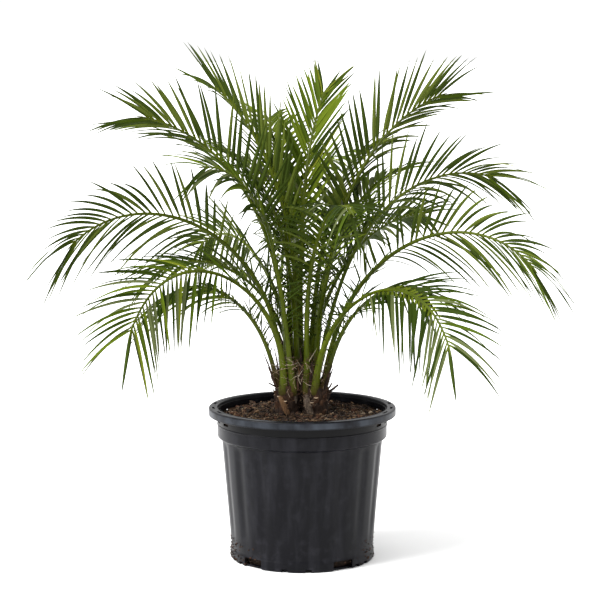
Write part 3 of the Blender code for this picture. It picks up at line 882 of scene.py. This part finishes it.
def grow_leaflets(heap, frond, dice):
    young = frond.lean_tip < 105
    weights = list(YOUNG_TINTS if young else SHADED_TINTS if frond.name in SHADED_FRONDS else GROWN_TINTS)
    weights += [0, 0, PAINTED_SHEEN_SHARES.get(frond.name, FEW_PAINTED_SHEEN)]
    width_here = LEAFLET_WIDTH * (YOUNG_WIDTH if young else LEANING_WIDTH if frond.lean_tip > 140 else 1.0)
    scale = LEAFLET_LENGTH * (frond.length / FULL_FROND_LENGTH) ** 0.3
    base_droop = DROOP[0] + DROOP[1] * (frond.lean_tip / 160) ** 1.5
    for pair in range(PAIRS):
        gather = PAIRING if pair % 2 == 0 else -PAIRING
        for hand in (1, -1):
            v = clamp((pair + 0.5 + gather + 0.18 * hand + dice.uniform(-0.09, 0.09)) / PAIRS)
            share = mix(BLADE_START, BLADE_END, 1 - (1 - v) ** CROWDING)
            along, over, across = frond.frame(share)
            out, aim, low = leaflet_stance(frond, v, hand, along, over, across, dice)
            rise = 0.5 + 0.5 * math.sin(math.pi / 2 * min(1.0, v / 0.3))
            fall = 1 - 0.19 * max(0.0, (v - 0.4) / 0.6) ** 1.3
            length = scale * rise * fall * (1 - SHORTER_BELOW * low) * dice.uniform(0.93, 1.05)
            droop = base_droop * math.hypot(aim[0], aim[1]) * dice.uniform(0.7, 1.5) * (1 + HANG * low)
            width = width_here * mix(0.45, 1.0, min(1.0, v / 0.18)) * mix(1.0, 0.74, v)
            width *= dice.uniform(0.88, 1.1)
            foot = frond.place(share) + out * rib_half(RIB_WIDTHS, share) * 0.5
            tint = dice.choices(range(7), weights=weights)[0]
            add_leaflet(heap, foot, aim, along, hand, length, width, droop,
                        dice.gauss(0.0, 0.03), dice.gauss(0, 16), tint, TILT + dice.gauss(0, 9))


print(PAIRS, "pairs of leaflets a frond")

# %% [markdown]
# Below the blade the leaflets get thin and short and pass into spines. The rib ends in one leaflet that goes
# straight on. All leaflets of a stem's fronds are one piece.

# %% Thin leaflets and the last one
THIN_PAIRS, UPRIGHT_THIN_PAIRS = 11, 5
THIN_START = 0.14
THIN_LENGTHS = (0.026, 0.1)
THIN_WIDTHS = (0.0024, 0.0048)


def grow_thin_leaflets(heap, frond, dice):
    pairs = THIN_PAIRS if frond.lean_tip > 125 else UPRIGHT_THIN_PAIRS
    for hand, climb in both_sides(dice, pairs, 0.4):
        share = mix(THIN_START, BLADE_START, climb)
        along, over, across = frond.frame(share)
        out = fork(across * hand, over, math.radians(dice.uniform(5, 50)))
        aim = fork(along, out, math.radians(dice.gauss(58, 9)))
        length = mix(*THIN_LENGTHS, climb) * dice.uniform(0.75, 1.15)
        foot = frond.place(share) + out * rib_half(RIB_WIDTHS, share) * 0.6
        add_leaflet(heap, foot, aim, along, hand, length, mix(*THIN_WIDTHS, climb), 0.08,
                    dice.gauss(0, 0.06), dice.gauss(0, 30), dice.choice((0, 0, 1)), dice.uniform(-30, 60))


def dress_frond(heap, frond, dice):
    grow_leaflets(heap, frond, dice)
    grow_thin_leaflets(heap, frond, dice)
    _, _, across = frond.frame(BLADE_END)
    length = frond.length * (1 - BLADE_END) * 1.05
    aim = unit(frond.place(1.0) - frond.place(BLADE_END))
    add_leaflet(heap, frond.place(BLADE_END - 0.01), aim, across, 1, length, LEAFLET_WIDTH * 0.8, 0.05,
                0.0, dice.gauss(0, 15), 1, 0.0)


def make_by_stem(kind, finishes, sharp, grow):
    """One piece for each stem, of what grow puts on its fronds."""
    for stem in STEMS:
        heap, nodes = Heap(), []
        for number, frond in enumerate(fronds):
            if frond.stem == stem:
                grow(heap, frond, random.Random(100 + number))
                nodes += frond.nodes()
        heap.piece(kind + stem, finishes, "frond", nodes, sharp)


make_by_stem("leaflets_", leaf_finishes, 28, dress_frond)

# %% [markdown]
# The stalk is a gutter too: flat and a little hollow above, round below, and broad where it clasps the
# stem. Where the blade starts the hollow fills up and the rib thins away. The colour is a waxy yellow green,
# which fades to brown where the sheath is dry. The outer stalks in front stay bright down to the stem, and
# have a finish of their own.

# %% Stalk finish
STALK_GREENS = ((0.018, 0.03, 0.0007), (0.05, 0.069, 0.0014))
FRESH_FADES = (0.36, 0.48)
FRESH_STALKS = ("low_left", "low_right", "front_left", "front_right")


def stalk_skin(name, dark, light, dry_below, green_above):
    finish = Finish(name)
    height = finish.height()
    drift = finish.steps(finish.grain(22.0, 3.0, (1.0, 1.0, 0.35)), 0.3, 0.7)
    streak = finish.steps(finish.grain(420.0, 3.0, (1.0, 1.0, 0.06)), 0.42, 0.66)
    fade = finish.steps(height, *FRESH_FADES)
    green = finish.blend(fade, finish.blend(drift, dark, light), finish.blend(drift, *STALK_GREENS))
    green = finish.blend(streak * 0.3, green, (0.09, 0.104, 0.004))
    patchy = height + (finish.grain(28.0, 3.0) - 0.5) * 0.11
    dry = 1 - finish.steps(patchy, dry_below, green_above)
    colour = finish.blend(dry * 0.85, green, (0.04, 0.022, 0.009))
    ridges = finish.relief(streak, 0.0003, 0.6)
    return finish.set(Base_Color=colour, Roughness=0.34 + dry * 0.4, Normal=ridges, Specular_IOR_Level=0.09)


stalk_finishes = [
    stalk_skin("waxy_stalk", *STALK_GREENS, 0.338, 0.395),
    stalk_skin("fresh_stalk", (0.028, 0.046, 0.0009), (0.08, 0.102, 0.0022), 0.304, 0.348),
]
print("stalk finishes", len(stalk_finishes))

# %% [markdown]
# A rib is one loft from its rounded foot, sunk in the stem's tangle, to its point. The section turns with the
# frond's own directions, so the hollow follows the blade when it rolls. All ribs of a stem are one piece.

# %% Ribs
STALK_RINGS = 26
RIB_RINGS = 40
RIB_DEPTHS = (0.01, 0.0068, 0.0028)
FOOT_FLARE = 0.004
# How far below the head each ring of the rounded foot lies, and its share of the full section
FOOT_ROUNDING = ((0.019, 0.3), (0.017, 0.66), (0.0135, 0.9), (0.007, 1.04))
# Section of a stalk in half widths and half depths, from one upper edge over the hollow and round below
SECTION = ((-1.0, 0.55), (-0.9, 0.8), (-0.5, 0.45), (0.0, 0.3), (0.5, 0.45), (0.9, 0.8), (1.0, 0.55),
           (0.92, -0.1), (0.62, -0.75), (0.0, -1.0), (-0.62, -0.75), (-0.92, -0.1))


def rib_ring(frond, share, sink=0.0, size=1.0):
    along, over, across = frond.frame(share)
    centre = frond.place(share) - along * sink
    flare = FOOT_FLARE * math.exp(-share / 0.045)
    half_width = (rib_half(RIB_WIDTHS, share) + flare) * size
    half_depth = (rib_half(RIB_DEPTHS, share) + flare * 0.25) * size
    filled = clamp((share - BLADE_START + 0.05) / 0.12)
    ring = []
    for x, y in reversed(SECTION):
        if y > 0.2 and abs(x) < 0.95:
            y = mix(y, 1.0 - 0.45 * abs(x), filled)
        ring.append(centre + across * x * half_width + over * y * half_depth)
    return ring


def grow_rib(heap, frond, _):
    shares = [BLADE_START * i / STALK_RINGS for i in range(STALK_RINGS)]
    shares += [mix(BLADE_START, BLADE_END + 0.01, i / RIB_RINGS) for i in range(RIB_RINGS + 1)]
    rings = [rib_ring(frond, 0.0, sink, size) for sink, size in FOOT_ROUNDING]
    rings += [rib_ring(frond, share) for share in shares]
    heap.loft(rings, int(frond.name in FRESH_STALKS), tip=frond.place(BLADE_END + 0.035))


make_by_stem("stalks_", stalk_finishes, 50, grow_rib)

# %% [markdown]
# Each stem is short and hidden in what is left of its old leaves: overlapping leaf bases, called boots,
# dry sheaths and fibres. The core is a turned shape whose bark relief is real geometry. Dry bark here runs
# from grey brown to orange tan, streaked along the stem, so the finish stretches its noise upward.

# %% Stem finishes
def bark(name, dark, light):
    finish = Finish(name)
    streak = finish.steps(finish.grain(300.0, 4.0, (1.0, 1.0, 0.18)), 0.36, 0.68)
    stain = finish.steps(finish.grain(70.0, 3.0), 0.42, 0.66)
    colour = finish.blend(streak, dark, light)
    colour = finish.blend(stain * 0.5, colour, (0.02, 0.011, 0.007))
    return finish.set(Base_Color=colour, Roughness=0.85, Normal=finish.relief(streak, 0.0007),
                      Specular_IOR_Level=0.2)


bark_finishes = [
    bark("bark_dark", (0.01, 0.0055, 0.0036), (0.036, 0.019, 0.011)),
    bark("bark_brown", (0.024, 0.011, 0.006), (0.086, 0.042, 0.022)),
    bark("bark_tan", (0.056, 0.027, 0.013), (0.205, 0.112, 0.05)),
    bark("bark_grey", (0.062, 0.044, 0.032), (0.185, 0.145, 0.11)),
    bark("cut_end", (0.3, 0.21, 0.13), (0.52, 0.4, 0.28)),
    bark("dry_fibre", (0.21, 0.14, 0.085), (0.42, 0.32, 0.22)),
    bark("pale_fibre", (0.42, 0.34, 0.24), (0.62, 0.53, 0.41)),
]
DARK, BROWN, TAN, GREY, CUT, FIBRE, PALE = range(7)
print("stem finishes", len(bark_finishes))

# %% [markdown]
# What shows of a core is a dark ground between the boots. Fractal noise and a fine wave push its skin in and
# out, and a dome closes its head under the tangle.

# %% Stem cores
CORE_SIDES = 48
CORE_RINGS = 20
STEM_WAIST = 0.9


def build_cores():
    for stem, (x, y, radius, _) in STEMS.items():
        rings = []
        for ring in range(CORE_RINGS + 1):
            rise = ring / CORE_RINGS
            height = mix(SOIL_TOP - 0.01, STEM_HEAD + 0.004, rise)
            waist = STEM_WAIST + (1 - STEM_WAIST) * abs(2 * rise - 1)
            dome = math.sqrt(max(0.0, 1 - max(0.0, (rise - 0.86) / 0.15) ** 2))
            points = []
            for side in range(CORE_SIDES):
                turn = math.tau * side / CORE_SIDES
                relief = 0.0016 * noise.fractal(Vector(polar(1.7, turn, height * 42)) * 2.3, 1.0, 2.0, 4)
                relief += 0.001 * math.sin(9 * turn + height * 160)
                px, py, _ = polar((radius * waist - 0.0014 + relief) * dome, turn)
                points.append((x + px, y + py, height))
            rings.append(points)
        heap = Heap()
        heap.loft(rings, DARK)
        heap.piece("core_" + stem, bark_finishes, "stem", ["stem_" + stem], 60)


build_cores()

# %% [markdown]
# A boot is the foot of a cut leaf: a shield that hugs the stem, thick in the middle, with a cut upper end
# that stands off a little. They follow each other by the golden angle round the stem, as palm leaves do.
# Some that the photograph shows clearly are listed one by one: an orange one at the left foot, a grey one at
# the right foot, and the dark cut stalks that stick out on both sides.

# %% Boots and cut stalks
GOLDEN_ANGLE = 137.5
BOOTS = 26
BOOT_SECTION = 10
# In millimetres: path, widths and thicknesses. Then the outward side, the tint and the tint of the end
SET_BY_HAND = {
    "left": (
        (((-26.2, -30, 275.5), (-30, -31.2, 284), (-35.2, -30.5, 295), (-40, -28.2, 306),
          (-42.5, -26.2, 312.5)), (10, 11.5, 12, 11, 9.5), (4, 5.5, 6, 5.5, 5), (-0.45, -1, 0.1), TAN, CUT),
        (((-43, -10, 324), (-52, -12, 330.5), (-64, -14, 337)), (6.5, 5, 3.6), (2.6, 2.2, 1.8),
         (-0.5, -0.3, 1), DARK, DARK),
        (((-43, 6, 328), (-50, 7, 335), (-54.5, 8, 341.5)), (4.5, 3.6, 3), (2.4, 2, 1.6),
         (-0.5, 0.3, 1), DARK, DARK),
    ),
    "right": (
        (((16, -33.5, 276), (13.5, -35, 285), (10, -34.5, 296), (7.8, -32, 308), (6.8, -29, 316)),
         (11, 13.5, 14, 11.5, 7), (4, 6, 6.5, 5.5, 4), (-0.3, -1, 0.1), GREY, BROWN),
        (((42, -16, 316.5), (54.5, -19, 324), (67.5, -22, 334.5)), (8.5, 7, 4.6), (4, 3.2, 2.2),
         (0.5, -0.5, 1), DARK, DARK),
        (((46, -18, 324), (51.5, -20, 330), (55.5, -21, 337)), (4.5, 3.6, 2.6), (2.4, 2, 1.6),
         (0.5, -0.5, 1), BROWN, DARK),
    ),
    "rear": (),
}


def add_shield(heap, path, widths, thicks, outward, tint, end_tint):
    """Loft a lens-shaped section along a path. outward is the side that bulges."""
    rings = []
    for index, (centre, width, thick) in enumerate(zip(path, widths, thicks)):
        ahead = unit(path[min(index + 1, len(path) - 1)] - path[max(index - 1, 0)])
        face = unit(np.array(outward) - ahead * np.dot(outward, ahead))
        side = np.cross(ahead, face)
        ring = []
        for step in range(BOOT_SECTION):
            aside, out, _ = polar(1.0, math.tau * step / BOOT_SECTION)
            bulge = out * thick / 2 - 0.35 * aside ** 2 * width / 2
            ring.append(centre + side * aside * width / 2 + face * bulge)
        rings.append(ring)
    heap.loft(rings, lambda ring, side: end_tint if ring == len(rings) - 1 else tint)


def add_boot(heap, dice, stem, azimuth, foot, rise, width, stand_off, tint, end_tint):
    x, y, radius, _ = STEMS[stem]
    out = np.array(polar(1.0, math.radians(azimuth)))
    lean = dice.uniform(-0.12, 0.12)
    path, widths, thicks = [], [], []
    for share in SIX_SHARES:
        away = radius * STEM_WAIST - 0.0015 + stand_off * share ** 1.6
        aside = np.array((-out[1], out[0], 0.0)) * lean * rise * share
        path.append(np.array((x, y, foot + rise * share)) + out * away + aside)
        widths.append(width * (0.55 + 0.45 * math.sin(math.pi * min(1.0, 0.15 + share * 0.75))))
        thicks.append(0.0046 * (0.65 + 0.35 * math.sin(math.pi * share)))
    add_shield(heap, path, widths, thicks, out, tint, end_tint)


def build_boots():
    for number, stem in enumerate(STEMS):
        dice = random.Random(40 + number)
        heap = Heap()
        for boot in range(BOOTS):
            tint = dice.choices((DARK, BROWN, GREY), weights=(8, 5, 1))[0]
            end_tint = dice.choices((tint, CUT), weights=(3, 1))[0]
            foot = mix(0.2735, 0.3075, boot / (BOOTS - 1))
            add_boot(heap, dice, stem, boot * GOLDEN_ANGLE + 40 * number, foot, dice.uniform(0.01, 0.019),
                     dice.uniform(0.009, 0.017), dice.uniform(0.0015, 0.0065), tint, end_tint)
        for frond in fronds:
            if frond.stem == stem and frond.slot is not None:
                add_boot(heap, dice, stem, frond.slot, 0.302, 0.031, 0.021, 0.0005, BROWN, BROWN)
        for *shape, outward, tint, end_tint in SET_BY_HAND[stem]:
            metres = [np.array(row) / 1000 for row in shape]
            add_shield(heap, *metres, outward, tint, end_tint)
        heap.piece("boots_" + stem, bark_finishes, "stem", sharp=45)


build_boots()

# %% [markdown]
# Between the stalks lies a tangle of sheath fibres and of old spines, cream to brown. Each is a thin strand
# of three sides with a bow.

# %% Fibre tangle
TANGLE = 520
FRONT_STRANDS = 64
FUZZ = 60


def add_bowed(heap, start, aim, length, bow, thick, tint, steps=SIX_SHARES):
    """A strand that leaves start along aim and bends off to the side of bow."""
    aim, bow = unit(aim) * length, np.array(bow) * length
    add_strand(heap, [start + aim * t + bow * t * t for t in steps], thick, tint)


def build_tangle():
    dice = random.Random(77)
    heap = Heap()
    for _ in range(TANGLE):
        x, y, radius, _ = dice.choice(list(STEMS.values()))
        turn, away = dice.uniform(0, math.tau), radius * dice.uniform(0.3, 1.05)
        start = np.array((x, y, 0.0)) + polar(away, turn, dice.uniform(0.312, 0.385))
        aim = polar(1.0, dice.uniform(0, math.tau), dice.uniform(-0.25, 1.1))
        bow = (dice.gauss(0, 0.3), dice.gauss(0, 0.3), dice.gauss(-0.15, 0.3))
        add_bowed(heap, start, aim, dice.uniform(0.012, 0.042), bow, dice.uniform(0.0005, 0.0013),
                  dice.choices((BROWN, FIBRE, PALE), weights=(6, 3, 1))[0])
    for _ in range(FRONT_STRANDS):
        start = (dice.uniform(-0.032, 0.024), dice.uniform(-0.048, -0.03), dice.uniform(0.298, 0.385))
        aim = (dice.choice((-1, 1)) * dice.uniform(0.3, 1.0), dice.gauss(0, 0.25), dice.gauss(0.4, 0.7))
        bow = (dice.gauss(0, 0.3), dice.gauss(0, 0.2), dice.gauss(-0.1, 0.3))
        add_bowed(heap, start, aim, dice.uniform(0.01, 0.026), bow, dice.uniform(0.0006, 0.0012),
                  dice.choice((BROWN, BROWN, TAN, FIBRE, PALE)))
    for _ in range(FUZZ):
        start = (dice.gauss(0.011, 0.006), dice.uniform(-0.04, -0.034), dice.uniform(0.281, 0.316))
        aim = (dice.gauss(0, 0.6), dice.uniform(-0.8, -0.1), dice.uniform(-0.2, 1.0))
        add_bowed(heap, start, aim, dice.uniform(0.004, 0.01), (dice.gauss(0, 0.4), 0.0, 0.2),
                  dice.uniform(0.0005, 0.001), dice.choice((GREY, GREY, FIBRE)))
    heap.piece("fibre_tangle", bark_finishes, "stem", sharp=60)


build_tangle()

# %% [markdown]
# Torn dark flaps of the old sheaths hug the foot of every stalk, with dry curved spines. Their dark is partly
# painted shade, filling the shadowed gaps between the stalks. They lie behind the fresh stalks, and over the
# others. Living spines, which are leaflets that stayed thorns, stand on both edges of every stalk and get
# longer towards the blade.

# %% Sheath flaps and spines
FLAPS_EACH = 5
FLAP, REAR_FLAP = 0.058, 0.1
DRY_SPINES = 6
SPINE_PAIRS = 7


def build_sheaths():
    dice = random.Random(55)
    shade_flaps, thorns = Heap(), Heap()
    for frond in fronds:
        height = REAR_FLAP if frond.stem == "rear" else FLAP
        behind = -1 if frond.name in FRESH_STALKS else 1
        for _ in range(FLAPS_EACH):
            side, rise = dice.choice((-1, 1)), 0.02 + height * dice.random() ** 1.4
            path, widths = [], []
            for share in SIX_SHARES:
                along, over, across = frond.frame(rise * share / frond.length)
                aside = across * side * (0.0052 + 0.006 * share * dice.uniform(0.5, 1.1))
                under = -over * (0.0045 + 0.004 * share) * behind
                path.append(frond.place(rise * share / frond.length) + aside + under - along * 0.006)
                widths.append(mix(0.0125, 0.002, share ** 1.6))
            # Dark flaps, partly painted shade: their dark brown fills the shadowed gaps between the stalks.
            tint = dice.choices((DARK, BROWN), weights=(5, 2))[0]
            add_shield(shade_flaps, path, widths, [0.0014] * 6, -over, tint, DARK)
        for _ in range(DRY_SPINES):
            share, side = dice.uniform(0.01, 0.12), dice.choice((-1, 1))
            along, over, across = frond.frame(share)
            aim = across * side + along * dice.uniform(-0.2, 0.9) + over * dice.uniform(-0.3, 0.6)
            start = frond.place(share) + across * side * rib_half(RIB_WIDTHS, share) * 0.8
            bow = along * dice.uniform(-0.3, 0.6) - over * dice.uniform(-0.3, 0.5)
            add_bowed(thorns, start, aim, dice.uniform(0.01, 0.028), bow, dice.uniform(0.0008, 0.0014),
                      dice.choice((GREY, FIBRE)))
    shade_flaps.piece("sheath_flaps_and_shade", bark_finishes, "stem", sharp=45)
    thorns.piece("dry_spines", bark_finishes, "stem", sharp=60)


build_sheaths()


def build_spines():
    heap = Heap()
    for number, frond in enumerate(fronds):
        dice = random.Random(300 + number)
        for hand, climb in both_sides(dice, SPINE_PAIRS, 0.3):
            share = mix(0.05, BLADE_START - 0.01, climb)
            along, over, across = frond.frame(share)
            aim = across * hand + over * dice.uniform(0.15, 0.6)
            aim = along * dice.uniform(0.25, 0.7) + aim
            length = mix(0.01, 0.034, (share / BLADE_START) ** 1.5) * dice.uniform(0.7, 1.2)
            foot = frond.place(share) + across * hand * rib_half(RIB_WIDTHS, share) * 0.8
            bow = along * dice.uniform(0.0, 0.25) - np.array((0, 0, dice.uniform(0.0, 0.2)))
            thick = mix(0.0013, 0.0021, share / BLADE_START)
            add_bowed(heap, foot, aim, length, bow, thick, dice.choice((0, 0, 1)), (0, 0.3, 0.6, 1.0))
    heap.piece("spines", [leaf_finishes[ROOT], leaf_finishes[FRESH]], "frond", sharp=60)


build_spines()

# %% [markdown]
# The dressed plant has to fill the same box as the solids. Both boxes are kept, so that they can be compared.

# %% Sizes
visual_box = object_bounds()
boxes = {"solids": solid_box, "visual": visual_box}
{name: [list(corner) for corner in box] for name, box in boxes.items()}
print("visual from", *(round(x, 3) for x in visual_box[0]), "to", *(round(x, 3) for x in visual_box[1]))
